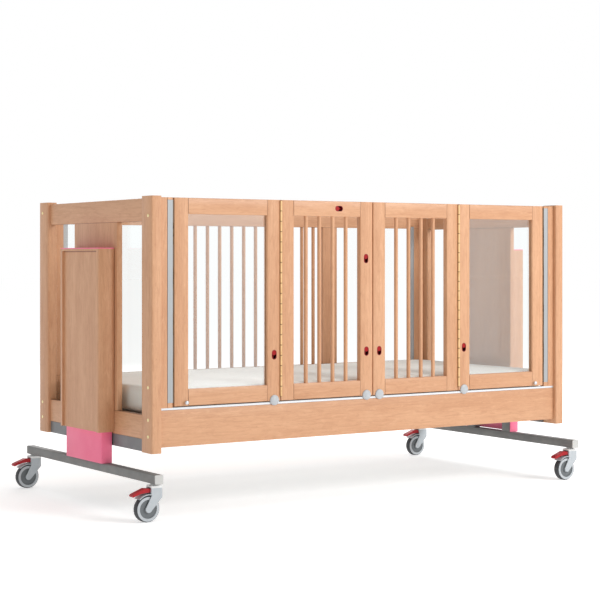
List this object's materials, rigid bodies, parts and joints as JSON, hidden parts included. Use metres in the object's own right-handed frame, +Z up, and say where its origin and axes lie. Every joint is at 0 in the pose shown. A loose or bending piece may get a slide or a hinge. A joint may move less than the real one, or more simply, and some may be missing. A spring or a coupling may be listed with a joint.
{
  "type": "pediatric hospital cot",
  "caption": "Beech-framed hospital cot with folding front doors, clear side windows, a mattress and height-adjustable end columns on braked castors.",
  "frame": {"origin": "floor level under the middle of the whole outline", "axes": "+X along the cot, -Y out of the door side, +Z up"},
  "size_m": [2.2686, 1.168, 1.232],
  "materials": {
    "beech": "clear satin lacquer",
    "clear_sheet": "polished clear sheet",
    "pink_paint": "satin powder coat",
    "grey_paint": "satin powder coat",
    "aluminium": "brushed",
    "dark_bronze": "dark oxidised",
    "brass": "bright",
    "grey_plastic": "matte",
    "red_plastic": "semi-gloss",
    "castor_plastic": "semi-matte",
    "wheel": "matte",
    "mattress_cover": "wipe-clean woven cover"
  },
  "bodies": {
    "base_left": {"foot_left": "grey_paint", "lift_cover_left": "pink_paint"},
    "cot": {"side_board_front": "beech", "side_board_rear": "beech", "door_track": "aluminium", "rear_frame": "beech", "lying_frame": "grey_paint", "mattress": "mattress_cover", "post_front_left": "beech", "post_rear_left": "beech", "end_frame_left": "beech", "end_pane_left": "clear_sheet", "column_cover_left": "beech", "column_lid_left": "pink_paint", "rear_pane_left": "clear_sheet", "jamb_strip_left": "aluminium", "post_front_right": "beech", "post_rear_right": "beech", "end_frame_right": "beech", "end_pane_right": "clear_sheet", "column_cover_right": "beech", "column_lid_right": "pink_paint", "rear_pane_right": "clear_sheet", "jamb_strip_right": "aluminium"},
    "base_right": {"foot_right": "grey_paint", "lift_cover_right": "pink_paint"},
    "outer_door_left": {"outer_door_left": "beech", "outer_door_pane_left": "clear_sheet", "door_leaf_left": "dark_bronze", "piano_outer_leaf_left": "brass", "outer_stop_disc_left": "grey_plastic"},
    "inner_door_left": {"inner_door_left": "beech", "piano_inner_leaf_left": "brass", "inner_stop_disc_left": "grey_plastic"},
    "outer_catch_left": {"outer_catch_left": "red_plastic"},
    "inner_catch_left": {"inner_catch_left": "red_plastic"},
    "outer_door_right": {"outer_door_right": "beech", "outer_door_pane_right": "clear_sheet", "door_leaf_right": "dark_bronze", "piano_outer_leaf_right": "brass", "outer_stop_disc_right": "grey_plastic"},
    "inner_door_right": {"inner_door_right": "beech", "piano_inner_leaf_right": "brass", "inner_stop_disc_right": "grey_plastic"},
    "outer_catch_right": {"outer_catch_right": "red_plastic"},
    "inner_catch_right": {"inner_catch_right": "red_plastic"},
    "high_catch": {"high_catch": "red_plastic"},
    "top_catch": {"top_catch": "red_plastic"},
    "fork_front_left": {"fork_front_left": "castor_plastic"},
    "wheel_front_left": {"wheel_front_left": "wheel"},
    "pedal_front_left": {"pedal_front_left": "red_plastic"},
    "fork_rear_left": {"fork_rear_left": "castor_plastic"},
    "wheel_rear_left": {"wheel_rear_left": "wheel"},
    "pedal_rear_left": {"pedal_rear_left": "red_plastic"},
    "fork_front_right": {"fork_front_right": "castor_plastic"},
    "wheel_front_right": {"wheel_front_right": "wheel"},
    "pedal_front_right": {"pedal_front_right": "red_plastic"},
    "fork_rear_right": {"fork_rear_right": "castor_plastic"},
    "wheel_rear_right": {"wheel_rear_right": "wheel"},
    "pedal_rear_right": {"pedal_rear_right": "red_plastic"}
  },
  "joints": [
    {"name": "lift_left", "type": "slide", "parent": "base_left", "child": "cot", "axis": [0, 0, 1], "range_m": [0, 0.4]},
    {"name": "lift_right", "type": "slide", "parent": "cot", "child": "base_right", "axis": [0, 0, -1], "range_m": [0, 0.4]},
    {"name": "outer_door_left_hinge", "type": "hinge", "parent": "cot", "child": "outer_door_left", "pos_m": [-0.9215, -0.4912, 0.825], "axis": [0, 0, -1], "range_deg": [0, 105]},
    {"name": "inner_door_left_fold", "type": "hinge", "parent": "outer_door_left", "child": "inner_door_left", "pos_m": [-0.43175, -0.4972, 0.825], "axis": [0, 0, -1], "range_deg": [0, 178]},
    {"name": "outer_catch_left_slide", "type": "slide", "parent": "outer_door_left", "child": "outer_catch_left", "axis": [0, 0, -1], "range_m": [0, 0.0095]},
    {"name": "inner_catch_left_slide", "type": "slide", "parent": "inner_door_left", "child": "inner_catch_left", "axis": [0, 0, -1], "range_m": [0, 0.0095]},
    {"name": "outer_door_right_hinge", "type": "hinge", "parent": "cot", "child": "outer_door_right", "pos_m": [0.972, -0.4912, 0.825], "axis": [0, 0, 1], "range_deg": [0, 105]},
    {"name": "inner_door_right_fold", "type": "hinge", "parent": "outer_door_right", "child": "inner_door_right", "pos_m": [0.48225, -0.4972, 0.825], "axis": [0, 0, 1], "range_deg": [0, 178]},
    {"name": "outer_catch_right_slide", "type": "slide", "parent": "outer_door_right", "child": "outer_catch_right", "axis": [0, 0, -1], "range_m": [0, 0.0095]},
    {"name": "inner_catch_right_slide", "type": "slide", "parent": "inner_door_right", "child": "inner_catch_right", "axis": [0, 0, -1], "range_m": [0, 0.0095]},
    {"name": "high_catch_slide", "type": "slide", "parent": "inner_door_left", "child": "high_catch", "axis": [0, 0, -1], "range_m": [0, 0.0095]},
    {"name": "top_catch_slide", "type": "slide", "parent": "inner_door_left", "child": "top_catch", "axis": [1, 0, 0], "range_m": [0, 0.0095]},
    {"name": "swivel_front_left", "type": "hinge", "parent": "base_left", "child": "fork_front_left", "pos_m": [-1.03325, -0.546, 0.14], "axis": [0, 0, 1], "continuous": true},
    {"name": "roll_front_left", "type": "hinge", "parent": "fork_front_left", "child": "wheel_front_left", "pos_m": [-1.06725, -0.546, 0.04957], "axis": [0, 1, 0], "continuous": true},
    {"name": "pedal_front_left_hinge", "type": "hinge", "parent": "fork_front_left", "child": "pedal_front_left", "pos_m": [-1.05175, -0.546, 0.119], "axis": [0, -1, 0], "range_deg": [0, 10]},
    {"name": "swivel_rear_left", "type": "hinge", "parent": "base_left", "child": "fork_rear_left", "pos_m": [-1.03325, 0.546, 0.14], "axis": [0, 0, 1], "continuous": true},
    {"name": "roll_rear_left", "type": "hinge", "parent": "fork_rear_left", "child": "wheel_rear_left", "pos_m": [-1.06725, 0.546, 0.04957], "axis": [0, 1, 0], "continuous": true},
    {"name": "pedal_rear_left_hinge", "type": "hinge", "parent": "fork_rear_left", "child": "pedal_rear_left", "pos_m": [-1.05175, 0.546, 0.119], "axis": [0, -1, 0], "range_deg": [0, 10]},
    {"name": "swivel_front_right", "type": "hinge", "parent": "base_right", "child": "fork_front_right", "pos_m": [1.08375, -0.546, 0.14], "axis": [0, 0, 1], "continuous": true},
    {"name": "roll_front_right", "type": "hinge", "parent": "fork_front_right", "child": "wheel_front_right", "pos_m": [1.04975, -0.546, 0.04957], "axis": [0, 1, 0], "continuous": true},
    {"name": "pedal_front_right_hinge", "type": "hinge", "parent": "fork_front_right", "child": "pedal_front_right", "pos_m": [1.06525, -0.546, 0.119], "axis": [0, -1, 0], "range_deg": [0, 10]},
    {"name": "swivel_rear_right", "type": "hinge", "parent": "base_right", "child": "fork_rear_right", "pos_m": [1.08375, 0.546, 0.14], "axis": [0, 0, 1], "continuous": true},
    {"name": "roll_rear_right", "type": "hinge", "parent": "fork_rear_right", "child": "wheel_rear_right", "pos_m": [1.04975, 0.546, 0.04957], "axis": [0, 1, 0], "continuous": true},
    {"name": "pedal_rear_right_hinge", "type": "hinge", "parent": "fork_rear_right", "child": "pedal_rear_right", "pos_m": [1.06525, 0.546, 0.119], "axis": [0, -1, 0], "range_deg": [0, 10]}
  ],
  "couplings": [
    {"joint": "lift_right", "follows": "lift_left", "ratio": 1}
  ]
}
